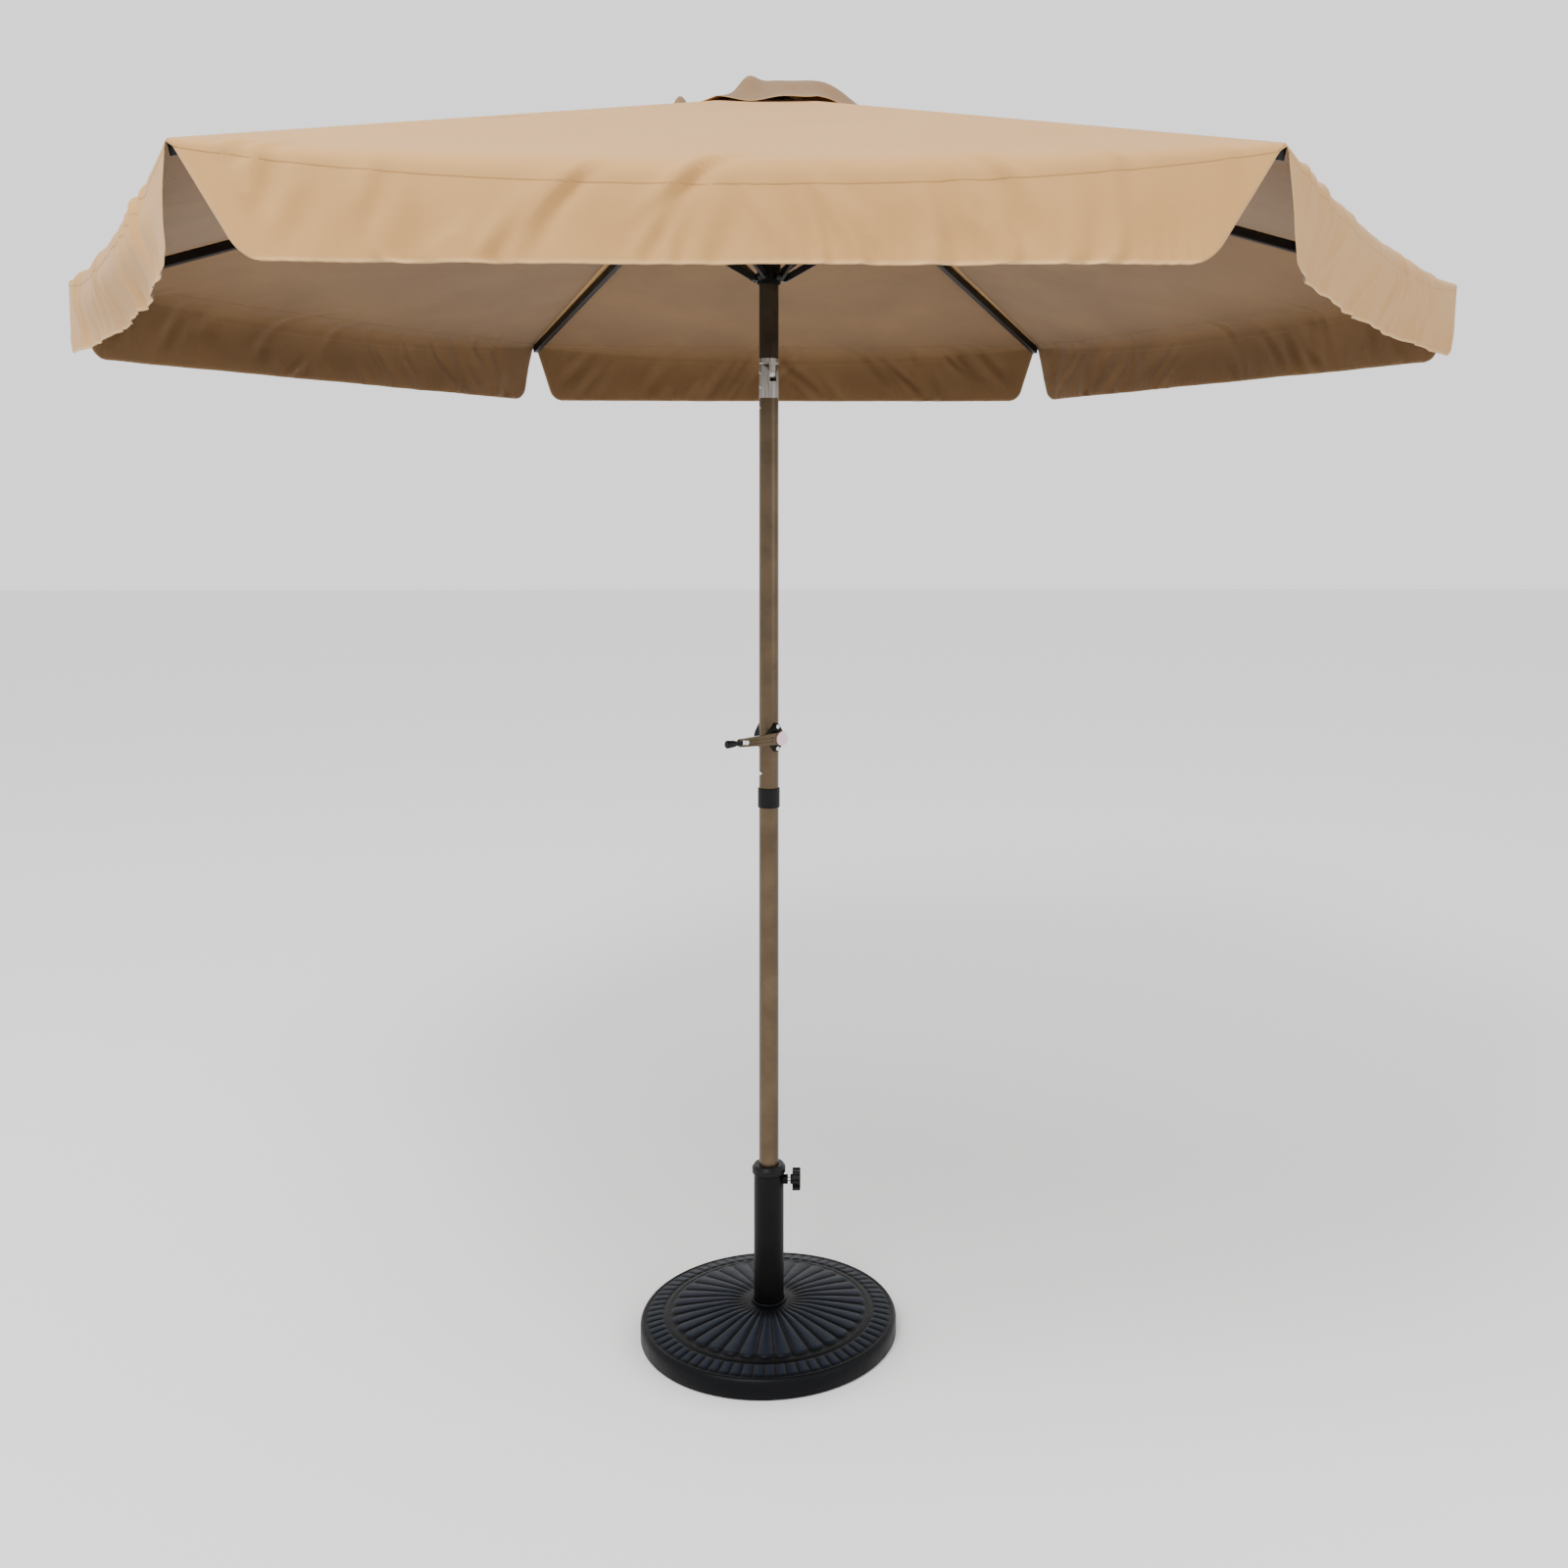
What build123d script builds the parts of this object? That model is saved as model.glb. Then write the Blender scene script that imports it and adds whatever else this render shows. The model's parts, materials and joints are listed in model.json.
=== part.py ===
from build123d import *
import os
from math import atan2, cos, degrees, radians, sin, tan

# Patio umbrella with a round resin base: a six-rib canopy with a hanging valance, opened by
# a crank on the pole, tilted by a hinged joint in the pole, and held in the tube of the base.
# Millimetres, +Z up, origin at the bottom of the base on the pole's axis. Azimuths are
# measured from -Y towards +X, so azimuth 0 faces the front and 90 is the right-hand side.

os.makedirs("parts", exist_ok=True)

# ---------------------------------------------------------------- driving dimensions
SIDES = 6  # ribs, struts, canopy panels and valance flaps
STEP = 360 / SIDES
RIB_AZIMUTHS = [STEP / 2 + STEP * k for k in range(SIDES)]
PANEL_AZIMUTHS = [STEP * k for k in range(SIDES)]

CORNER_R = 1353.4  # canopy corner, from the pole's axis
CORNER_Z = 2043.6  # height of the canopy corners
RIB_SLOPE = 15.0  # degrees below level when the canopy is open
TOP_Z = 2446.0  # crown of the vent cap

POLE_R = 19.0
POLE_WALL = 1.5
PLUG_R = POLE_R - POLE_WALL - 0.05  # plugs and sleeves inside the pole
FIT = 0.05  # radial clearance of a pin or shaft that turns or slides
SLIP = 0.5  # radial clearance of the loose sliding fits

BASE_R = 248.0
BASE_RIM_Z = 40.0
BASE_RIM_ROUND = 12.0
BASE_BOSS_Z = 62.0
BASE_BOSS_R = 44.0
TUBE_R = 29.0
TUBE_WALL = 2.0
TUBE_TOP_Z = 322.0
STUD_R = 8.0
NUT_RECESS_Z = 14.0
LOCK_Z = 295.0
LOCK_SCREW_R = 4.0

POLE_FOOT_Z = 67.0
POLE_SPLIT_Z = 1040.0
FERRULE_Z = (1021.0, 1059.0)
FERRULE_R = 21.5
SNAP_Z = 1089.0
SNAP_AZIMUTH = -53.0
SNAP_R = 4.0

CRANK_Z = 1159.0
CRANK_AZIMUTH = 41.0
CRANK_ARM = 98.0  # shaft to rivet
CRANK_SHAFT_R = 5.0
CRANK_SCREW_Z = 21.3

TILT_AZIMUTH = -60.0  # where the tilt pin points
TILT_SECTION_Z = (1818.0, 1895.0)
TILT_PIVOT_Z = 1867.0
TILT_LOCK_Z = 1839.0
CHEEK_R = 17.0
TONGUE_R = 15.0
TONGUE_W = 13.4
TILT_SLOT_W = 14.0
TILT_GAP = 19.3  # the tilting block's lower face above the pivot

HUB_PIVOT_R = 40.0
HUB_R = 56.0
HUB_HALF_H = 14.0
RIB_W = 14.0
RIB_H = 19.0
RIB_WALL = 0.9
RIB_START = 24.0  # the rib's tube begins this far from its pin
RIB_PIN_R = 2.5
TONGUE_SLOT_W = 8.6
CLOTH = 2.0  # thickness of the cloth solids
CLOTH_LIFT = 13.5  # outer face of the cloth above the rib's centre line

RUNNER_Z = 2053.0  # height of the strut pivots on the runner
RUNNER_PIVOT_R = 32.0
RUNNER_BORE_R = POLE_R + 1.6  # loose enough to slide over the tilt joint's pins and button
BUTTON_PROUD = 1.3  # how far the tilt button stands out of the pole
STRUT_AT = 380.0  # the strut joint's distance along the rib
STRUT_DROP = 16.0  # and below the rib's centre line
STRUT_W = 7.0
STRUT_H = 13.0
STRUT_LANE = 8.0  # the strut runs beside the rib, from this far off its middle plane

FLAP_H = 150.0
FLAP_TAPER = 90.0
FLAP_CORNER = 45.0
VENT_R = 190.0
PANEL_TOP = 67.0  # the panels begin this far down their slope, clear of the hub

# ---------------------------------------------------------------- worked out from them
RISE = tan(radians(RIB_SLOPE))
RIB_RUN = (CORNER_R - HUB_PIVOT_R) / cos(radians(RIB_SLOPE))
HUB_PIVOT_Z = CORNER_Z + (CORNER_R - HUB_PIVOT_R) * RISE - CLOTH_LIFT / cos(radians(RIB_SLOPE))
RIB_END = RIB_RUN - 26.0  # the rib's tube ends this far from its pin
EDGE_R = CORNER_R * cos(radians(STEP / 2))  # the hem's distance from the axis
PANEL_SLOPE = degrees(atan2(CORNER_R * RISE, EDGE_R))
HUB_TOP_Z = HUB_PIVOT_Z + HUB_HALF_H


def outward(azimuth):
    """The level unit vector that points away from the pole at an azimuth."""
    return Vector(sin(radians(azimuth)), -cos(radians(azimuth)), 0)


def sideways(azimuth):
    """The level unit vector square to outward, anticlockwise from above."""
    return Vector(cos(radians(azimuth)), sin(radians(azimuth)), 0)


def radial_plane(azimuth, lane=0.0):
    """The upright plane along an azimuth, lane to its side: local X is outward, local Y is up."""
    return Plane(origin=sideways(azimuth) * lane, x_dir=outward(azimuth), z_dir=-sideways(azimuth))


def facing_plane(azimuth, radius, height):
    """An upright plane that faces outward: local X is sideways, local Y is up."""
    centre = outward(azimuth) * radius + Vector(0, 0, height)
    return Plane(origin=centre, x_dir=sideways(azimuth), z_dir=outward(azimuth))


def ring(z_low, z_high, outer, inner):
    """A tube about the pole's axis, added to the part being built."""
    with BuildSketch(Plane.XY.offset(z_low)) as section:
        Circle(outer)
        Circle(inner, mode=Mode.SUBTRACT)
    extrude(section.sketch, amount=z_high - z_low)


def rod(azimuth, height, start, end, radius, mode=Mode.ADD):
    """A round bar along an azimuth, from one distance off the pole's axis to another."""
    with BuildSketch(facing_plane(azimuth, start, height)) as section:
        Circle(radius)
    extrude(section.sketch, amount=end - start, mode=mode)


def end_edges(piece, azimuth, end):
    """The edges of a piece's first (0) or last (-1) face along the outward direction."""
    along = Axis(origin=(0, 0, 0), direction=outward(azimuth))
    return piece.faces().sort_by(along)[end].edges()


def finish(piece, name):
    """Labels a finished piece and writes it."""
    piece.part.label = name
    export_step(piece.part, f"parts/{name}.step")


# ---------------------------------------------------------------- the base
DOME_MIDDLE = (140, 55)  # a point of the domed top's arc, from the axis and up


with BuildPart() as base_weight:
    with BuildSketch(Plane.XZ):
        with BuildLine():
            outline = Polyline(
                (BASE_BOSS_R, BASE_BOSS_Z),
                (STUD_R + 0.2, BASE_BOSS_Z),
                (STUD_R + 0.2, NUT_RECESS_Z),
                (BASE_BOSS_R, NUT_RECESS_Z),
                (BASE_BOSS_R, 0),
                (BASE_R - 4, 0),
                (BASE_R, 4),
                (BASE_R, BASE_RIM_Z - BASE_RIM_ROUND),
            )
            rim = JernArc(outline @ 1, outline % 1, BASE_RIM_ROUND, 90)
            ThreePointArc(rim @ 1, DOME_MIDDLE, outline @ 0)
        make_face()
    revolve(axis=Axis.Z)
finish(base_weight, "base_weight")

with BuildPart() as base_tube:
    ring(BASE_BOSS_Z, TUBE_TOP_Z, TUBE_R, TUBE_R - TUBE_WALL)
    ring(BASE_BOSS_Z, BASE_BOSS_Z + 4, TUBE_R, 1.0)
    ring(BASE_BOSS_Z, BASE_BOSS_Z + 18, TUBE_R - 1, POLE_R + SLIP)
    ring(2.5, BASE_BOSS_Z + 4, STUD_R, 1.0)
    rod(90, LOCK_Z, TUBE_R - 1.5, 37, 9)
    rod(90, LOCK_Z, 20, 40, LOCK_SCREW_R + FIT, mode=Mode.SUBTRACT)
finish(base_tube, "base_tube")

with BuildPart() as base_nut:
    ring(10.5, NUT_RECESS_Z, 16, STUD_R + 0.1)
    with BuildSketch(Plane.XY.offset(3)):
        RegularPolygon(13, 6)
        Circle(STUD_R + 0.1, mode=Mode.SUBTRACT)
    extrude(amount=7.3)
finish(base_nut, "base_nut")

with BuildPart() as tube_collar:
    with BuildSketch(Plane.XZ):
        with BuildLine():
            Polyline(
                (POLE_R + SLIP, 306),
                (TUBE_R - TUBE_WALL - 0.1, 306),
                (TUBE_R - TUBE_WALL - 0.1, TUBE_TOP_Z + 0.1),
                (TUBE_R + 0.1, TUBE_TOP_Z + 0.1),
                (TUBE_R + 0.1, 309),
                (31, 309),
                (32.5, 311),
                (32.5, 320),
                (28, 326),
                (POLE_R + SLIP, 326),
                close=True,
            )
        make_face()
    revolve(axis=Axis.Z)
finish(tube_collar, "tube_collar")

with BuildPart() as lock_screw:
    rod(90, LOCK_Z, POLE_R + 0.4, 56, LOCK_SCREW_R)
finish(lock_screw, "lock_screw")

with BuildPart() as lock_knob:
    rod(90, LOCK_Z, 42, 47, 9)
    with BuildSketch(facing_plane(90, 46, LOCK_Z)):
        Circle(16.5)
        with PolarLocations(16.5, 6):
            Circle(4.5)
    extrude(amount=15.5)
    fillet(lock_knob.faces().sort_by(Axis.X)[-1].edges(), 2)
    rod(90, LOCK_Z, 41, 57, LOCK_SCREW_R + FIT, mode=Mode.SUBTRACT)
finish(lock_knob, "lock_knob")

# ---------------------------------------------------------------- the pole, up to the tilt joint
with BuildPart() as pole_foot:
    ring(POLE_FOOT_Z, POLE_FOOT_Z + 4, POLE_R, 3)
    ring(POLE_FOOT_Z + 4, POLE_FOOT_Z + 24, PLUG_R, 3)
finish(pole_foot, "pole_foot")

with BuildPart() as lower_pole:
    ring(POLE_FOOT_Z + 4.05, POLE_SPLIT_Z, POLE_R, POLE_R - POLE_WALL)
finish(lower_pole, "lower_pole")

with BuildPart() as pole_ferrule:
    ring(*FERRULE_Z, FERRULE_R, POLE_R + 0.05)
    for end in (0, -1):
        rims = pole_ferrule.edges().filter_by(GeomType.CIRCLE).group_by(Axis.Z)[end]
        fillet(rims.sort_by(SortBy.RADIUS)[-1], 1.2)
finish(pole_ferrule, "pole_ferrule")

with BuildPart() as joining_sleeve:
    ring(975, 1112, PLUG_R, PLUG_R - 2)
    rod(SNAP_AZIMUTH, SNAP_Z, 10, 22, SNAP_R + FIT, mode=Mode.SUBTRACT)
finish(joining_sleeve, "joining_sleeve")

with BuildPart() as snap_button:
    rod(SNAP_AZIMUTH, SNAP_Z, 13, 21.6, SNAP_R)
    fillet(end_edges(snap_button, SNAP_AZIMUTH, -1), 1.8)
    rod(SNAP_AZIMUTH, SNAP_Z, 11.5, 13, 5.5)
    with BuildSketch(facing_plane(SNAP_AZIMUTH, 10.7, SNAP_Z - 12)):
        RectangleRounded(9, 46, 3)
    extrude(amount=0.8)
finish(snap_button, "snap_button")

with BuildPart() as middle_pole:
    ring(POLE_SPLIT_Z, TILT_SECTION_Z[0], POLE_R, POLE_R - POLE_WALL)
    rod(SNAP_AZIMUTH, SNAP_Z, 10, 22, SNAP_R + FIT, mode=Mode.SUBTRACT)
    rod(CRANK_AZIMUTH, CRANK_Z, 10, 22, CRANK_SHAFT_R + SLIP, mode=Mode.SUBTRACT)
    for side in (-CRANK_SCREW_Z, CRANK_SCREW_Z):
        rod(CRANK_AZIMUTH, CRANK_Z + side, -22, 22, 2.1, mode=Mode.SUBTRACT)
    rod(TILT_AZIMUTH, TILT_SECTION_Z[0] - 19, -22, 22, 2.1, mode=Mode.SUBTRACT)
finish(middle_pole, "middle_pole")

# ---------------------------------------------------------------- the crank
HOUSING_FACE = 26.0
ARM_FACES = (33.0, 41.0)


def housing_half(front):
    """One half of the crank's housing: a lozenge flange that hugs the pole."""
    with BuildPart() as half:
        with BuildSketch(facing_plane(CRANK_AZIMUTH, 0, CRANK_Z)):
            Circle(18)
            with Locations((0, CRANK_SCREW_Z), (0, -CRANK_SCREW_Z)):
                Circle(6.5)
            make_hull()
        extrude(amount=HOUSING_FACE if front else -(HOUSING_FACE - 2))
        if front:
            rod(CRANK_AZIMUTH, CRANK_Z, 10, 32, 13)
            rod(CRANK_AZIMUTH, CRANK_Z, 5, 40, CRANK_SHAFT_R + FIT, mode=Mode.SUBTRACT)
        for side in (-CRANK_SCREW_Z, CRANK_SCREW_Z):
            rod(CRANK_AZIMUTH, CRANK_Z + side, -30, 30, 2.1, mode=Mode.SUBTRACT)
        keep = 3.0 if front else -3.0
        with BuildSketch(Plane.XY.offset(CRANK_Z - 40)):
            Circle(POLE_R + 0.05)
        extrude(amount=80, mode=Mode.SUBTRACT)
        cut = facing_plane(CRANK_AZIMUTH, keep, CRANK_Z)
        split(bisect_by=cut, keep=Keep.TOP if front else Keep.BOTTOM)
    return half


finish(housing_half(True), "crank_housing_front")
finish(housing_half(False), "crank_housing_back")

with BuildPart() as crank_screws:
    for side in (-CRANK_SCREW_Z, CRANK_SCREW_Z):
        height = CRANK_Z + side
        rod(CRANK_AZIMUTH, height, -HOUSING_FACE, HOUSING_FACE, 2)
        rod(CRANK_AZIMUTH, height, HOUSING_FACE, HOUSING_FACE + 2.4, 4)
        rod(CRANK_AZIMUTH, height, -HOUSING_FACE, -HOUSING_FACE + 1.9, 4)
finish(crank_screws, "crank_screws")

with BuildPart() as crank_spool:
    rod(CRANK_AZIMUTH, CRANK_Z, -10, 10, 9)
    rod(CRANK_AZIMUTH, CRANK_Z, -10, -8.5, 12)
    rod(CRANK_AZIMUTH, CRANK_Z, 8.5, 10, 12)
    rod(CRANK_AZIMUTH, CRANK_Z, 10, ARM_FACES[0] + 4, CRANK_SHAFT_R)
finish(crank_spool, "crank_spool")

with BuildPart() as crank_arm:
    with BuildSketch(facing_plane(CRANK_AZIMUTH, ARM_FACES[0], CRANK_Z)):
        Circle(12)
        with Locations((-CRANK_ARM, 0)):
            Circle(7.5)
        make_hull()
    extrude(amount=ARM_FACES[1] - ARM_FACES[0])
    with BuildSketch(facing_plane(CRANK_AZIMUTH, ARM_FACES[1], CRANK_Z)):
        for side in (-3.2, 3.2):
            with Locations(Location((-CRANK_ARM / 2 - 4, side))):
                SlotOverall(CRANK_ARM - 36, 3.2)
    extrude(amount=-1.6, mode=Mode.SUBTRACT)
    socket_end = ARM_FACES[0] + 4.1
    rod(CRANK_AZIMUTH, CRANK_Z, ARM_FACES[0] - 1, socket_end, CRANK_SHAFT_R + 0.02, mode=Mode.SUBTRACT)
    slot_centre = outward(CRANK_AZIMUTH) * sum(ARM_FACES) / 2 - sideways(CRANK_AZIMUTH) * CRANK_ARM
    pin_plane = Plane(origin=slot_centre + Vector(0, 0, CRANK_Z), x_dir=sideways(CRANK_AZIMUTH))
    with BuildSketch(pin_plane.offset(-4.3)):
        Rectangle(30, 12)
    extrude(amount=8.6, mode=Mode.SUBTRACT)
    with BuildSketch(pin_plane.offset(-8)):
        Circle(2)
    extrude(amount=16)
finish(crank_arm, "crank_arm")

with BuildPart() as crank_cap:
    rod(CRANK_AZIMUTH, CRANK_Z, ARM_FACES[1], ARM_FACES[1] + 3.5, 14)
    fillet(end_edges(crank_cap, CRANK_AZIMUTH, -1), 1.5)
finish(crank_cap, "crank_cap")

with BuildPart() as crank_knob:
    with BuildSketch(pin_plane.offset(-4)):
        with BuildLine():
            Polyline((3.4, -3.4), (3.4, 3.4), (-16, 4), (-16, -4), close=True)
        make_face()
        Circle(2 + FIT, mode=Mode.SUBTRACT)
    extrude(amount=8)
    grip_plane = Plane(origin=pin_plane.origin - sideways(CRANK_AZIMUTH) * 14, z_dir=-sideways(CRANK_AZIMUTH))
    with BuildSketch(grip_plane):
        Circle(6)
    with BuildSketch(grip_plane.offset(20)):
        Circle(8)
    loft()
    along_arm = Axis(origin=(0, 0, 0), direction=-sideways(CRANK_AZIMUTH))
    fillet(crank_knob.edges().filter_by(GeomType.CIRCLE).sort_by(along_arm)[-1], 3)
finish(crank_knob, "crank_knob")

# ---------------------------------------------------------------- the tilt joint
tilt_side_plane = facing_plane(TILT_AZIMUTH, 0, TILT_PIVOT_Z)  # local X lies in the tilting plane

with BuildPart() as tilt_socket:
    ring(TILT_SECTION_Z[0] - 38, TILT_SECTION_Z[0], PLUG_R, 11)
    ring(TILT_SECTION_Z[0], TILT_PIVOT_Z, POLE_R, 11)
    ring(TILT_PIVOT_Z - 17, TILT_PIVOT_Z, POLE_R, 3)
    with BuildSketch(Plane.XY.offset(TILT_PIVOT_Z)):
        Circle(POLE_R)
    extrude(amount=CHEEK_R)
    with BuildSketch(tilt_side_plane.offset(-25)):
        with Locations((0, 20)):
            Rectangle(60, 40)
        Circle(CHEEK_R, mode=Mode.SUBTRACT)
    extrude(amount=50, mode=Mode.SUBTRACT)
    with BuildSketch(tilt_side_plane.offset(-TILT_SLOT_W / 2)):
        with Locations((0, 5)):
            Rectangle(60, 44)
    extrude(amount=TILT_SLOT_W, mode=Mode.SUBTRACT)
    rod(TILT_AZIMUTH, TILT_PIVOT_Z, -25, 25, 4.02, mode=Mode.SUBTRACT)
    rod(TILT_AZIMUTH, TILT_LOCK_Z, -25, 25, 3 + FIT, mode=Mode.SUBTRACT)
    rod(TILT_AZIMUTH, TILT_SECTION_Z[0] - 19, -25, 25, 2.1, mode=Mode.SUBTRACT)
finish(tilt_socket, "tilt_socket")

with BuildPart() as tilt_tongue:
    ring(TILT_PIVOT_Z + TILT_GAP, TILT_SECTION_Z[1], POLE_R, 3)
    ring(TILT_SECTION_Z[1], TILT_SECTION_Z[1] + 35, PLUG_R, 11)
    with BuildSketch(tilt_side_plane.offset(-TONGUE_W / 2)):
        Circle(TONGUE_R)
        with Locations((0, 10)):
            Rectangle(2 * TONGUE_R, 20)
        Circle(4 + FIT, mode=Mode.SUBTRACT)
    extrude(amount=TONGUE_W)
finish(tilt_tongue, "tilt_tongue")

with BuildPart() as tilt_pins:
    rod(TILT_AZIMUTH, TILT_PIVOT_Z, -POLE_R, POLE_R - 1, 4)
    rod(TILT_AZIMUTH, TILT_PIVOT_Z, POLE_R - 1, POLE_R + 1.2, 3.4)
    rod(TILT_AZIMUTH, TILT_LOCK_Z, 12, POLE_R + 1.0, 3)
    rod(TILT_AZIMUTH, TILT_SECTION_Z[0] - 19, -POLE_R - 0.8, POLE_R + 0.8, 2)
finish(tilt_pins, "tilt_pins")

with BuildPart() as tilt_button:
    rod(TILT_AZIMUTH, TILT_LOCK_Z, -POLE_R - BUTTON_PROUD, 6, 3)
    fillet(end_edges(tilt_button, TILT_AZIMUTH, 0), 1)
finish(tilt_button, "tilt_button")

# ---------------------------------------------------------------- the upper pole and the hub
PULLEY_AZIMUTH = 60.0
PULLEY_Z = HUB_PIVOT_Z - 62
PULLEY_R = 10.5
PULLEY_OFF = 6.0


def pulley_plane(lane):
    """The plane of the cord pulley's faces."""
    centre = outward(PULLEY_AZIMUTH) * PULLEY_OFF + Vector(0, 0, PULLEY_Z)
    middle = Plane(origin=centre, x_dir=outward(PULLEY_AZIMUTH), z_dir=-sideways(PULLEY_AZIMUTH))
    return middle.offset(lane)


with BuildPart() as upper_pole:
    ring(TILT_SECTION_Z[1], HUB_TOP_Z, POLE_R, POLE_R - POLE_WALL)
    with BuildSketch(facing_plane(PULLEY_AZIMUTH, 10, PULLEY_Z)):
        RectangleRounded(9, 26, 3)
    extrude(amount=12, mode=Mode.SUBTRACT)
    with BuildSketch(pulley_plane(-20)):
        Circle(2.52)
    extrude(amount=40, mode=Mode.SUBTRACT)
finish(upper_pole, "upper_pole")

with BuildPart() as hub_pulley:
    with BuildSketch(pulley_plane(-3)):
        Circle(PULLEY_R)
        Circle(2.5 + FIT, mode=Mode.SUBTRACT)
    extrude(amount=6)
    with BuildSketch(pulley_plane(-1.3)):
        Circle(PULLEY_R)
        Circle(PULLEY_R - 2, mode=Mode.SUBTRACT)
    extrude(amount=2.6, mode=Mode.SUBTRACT)
finish(hub_pulley, "hub_pulley")

with BuildPart() as hub:
    ring(HUB_PIVOT_Z - HUB_HALF_H, HUB_TOP_Z, HUB_R, POLE_R + 0.05)
    ring(HUB_PIVOT_Z - HUB_HALF_H - 14, HUB_PIVOT_Z - HUB_HALF_H, 26, POLE_R + 0.05)
    for azimuth in RIB_AZIMUTHS:
        with BuildSketch(radial_plane(azimuth, -TONGUE_SLOT_W / 2)):
            with Locations((31 + 20, HUB_PIVOT_Z)):
                Rectangle(40, 60)
        extrude(amount=-TONGUE_SLOT_W, mode=Mode.SUBTRACT)
        with BuildSketch(radial_plane(azimuth, -12.1)):
            with Locations((HUB_PIVOT_R, HUB_PIVOT_Z)):
                Circle(RIB_PIN_R + 0.02)
        extrude(amount=-24.2, mode=Mode.SUBTRACT)
finish(hub, "hub")

with BuildPart() as hub_pins:
    for azimuth in RIB_AZIMUTHS:
        with BuildSketch(radial_plane(azimuth, -12)):
            with Locations((HUB_PIVOT_R, HUB_PIVOT_Z)):
                Circle(RIB_PIN_R)
        extrude(amount=-24)
    with BuildSketch(pulley_plane(-17.5)):
        Circle(2.5)
    extrude(amount=35)
finish(hub_pins, "hub_pins")

with BuildPart() as top_cap:
    ring(HUB_TOP_Z - 18, HUB_TOP_Z, PLUG_R, 12)
    with BuildSketch(Plane.XY.offset(HUB_TOP_Z)):
        Circle(34)
    extrude(amount=18)
    fillet(top_cap.faces().sort_by(Axis.Z)[-1].edges(), 12)
finish(top_cap, "top_cap")

# ---------------------------------------------------------------- the runner
with BuildPart() as runner:
    ring(RUNNER_Z - 14, RUNNER_Z + 30, 23, RUNNER_BORE_R)
    ring(RUNNER_Z - 7, RUNNER_Z + 7, 25.5, RUNNER_BORE_R)
    for azimuth in RIB_AZIMUTHS:
        with BuildSketch(radial_plane(azimuth, STRUT_LANE - 1)):
            with Locations((RUNNER_PIVOT_R, RUNNER_Z)):
                Circle(7.5)
            with Locations((RUNNER_PIVOT_R - 6, RUNNER_Z)):
                Rectangle(12, 11)
        extrude(amount=9)
        with BuildSketch(radial_plane(azimuth, STRUT_LANE)):
            with Locations((RUNNER_PIVOT_R, RUNNER_Z)):
                Circle(RIB_PIN_R + FIT)
        extrude(amount=12, mode=Mode.SUBTRACT)
finish(runner, "runner")

# ---------------------------------------------------------------- ribs, struts and their fittings
rib_direction = Vector(cos(radians(RIB_SLOPE)), 0, -sin(radians(RIB_SLOPE)))
rib_below = Vector(-sin(radians(RIB_SLOPE)), 0, -cos(radians(RIB_SLOPE)))
strut_top = Vector(HUB_PIVOT_R, 0, HUB_PIVOT_Z) + rib_direction * STRUT_AT + rib_below * STRUT_DROP
strut_foot = Vector(RUNNER_PIVOT_R, 0, RUNNER_Z)
strut_span = strut_top - strut_foot


def rib_plane(azimuth, along):
    """The plane across a rib, along mm from its pin: local X is sideways, local Y is up the rib's side."""
    direction = outward(azimuth) * rib_direction.X + Vector(0, 0, rib_direction.Z)
    start = outward(azimuth) * HUB_PIVOT_R + Vector(0, 0, HUB_PIVOT_Z)
    return Plane(origin=start + direction * along, x_dir=sideways(azimuth), z_dir=direction)


def make_rib(azimuth):
    """A rib: a thin-walled tube with a flat tongue that turns on the hub's pin."""
    with BuildPart() as rib:
        with BuildSketch(rib_plane(azimuth, RIB_START)):
            RectangleRounded(RIB_W, RIB_H, 2.5)
        extrude(amount=RIB_END - RIB_START)
        with BuildSketch(rib_plane(azimuth, RIB_START + 16)):
            RectangleRounded(RIB_W - 2 * RIB_WALL, RIB_H - 2 * RIB_WALL, 1.6)
        extrude(amount=RIB_END - RIB_START - 16, mode=Mode.SUBTRACT)
        with BuildSketch(radial_plane(azimuth, 4)):
            with Locations(Location((HUB_PIVOT_R, HUB_PIVOT_Z), -RIB_SLOPE)):
                Circle(7)
                with Locations((RIB_START / 2, 0)):
                    Rectangle(RIB_START, 14)
        extrude(amount=8)
        with BuildSketch(radial_plane(azimuth, 6)):
            with Locations((HUB_PIVOT_R, HUB_PIVOT_Z)):
                Circle(RIB_PIN_R + FIT)
        extrude(amount=12, mode=Mode.SUBTRACT)
    return rib


def make_fittings(azimuth):
    """A rib's strut bracket and the cap on its outer end."""
    with BuildPart() as fittings:
        with BuildSketch(rib_plane(azimuth, STRUT_AT - 18)):
            with Locations((0, -RIB_H / 2 - 1.55)):
                Rectangle(RIB_W - 1, 3)
        extrude(amount=36)
        with BuildSketch(radial_plane(azimuth, 5)):
            with Locations(Location((strut_top.X, strut_top.Z), -RIB_SLOPE)):
                Circle(6)
                with Locations((0, 2.9)):
                    Rectangle(12, 5.8)
        extrude(amount=10)
        with BuildSketch(rib_plane(azimuth, RIB_END + 0.05)):
            RectangleRounded(RIB_W + 1, RIB_H, 3)
        extrude(amount=16, taper=6)
    return fittings


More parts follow.
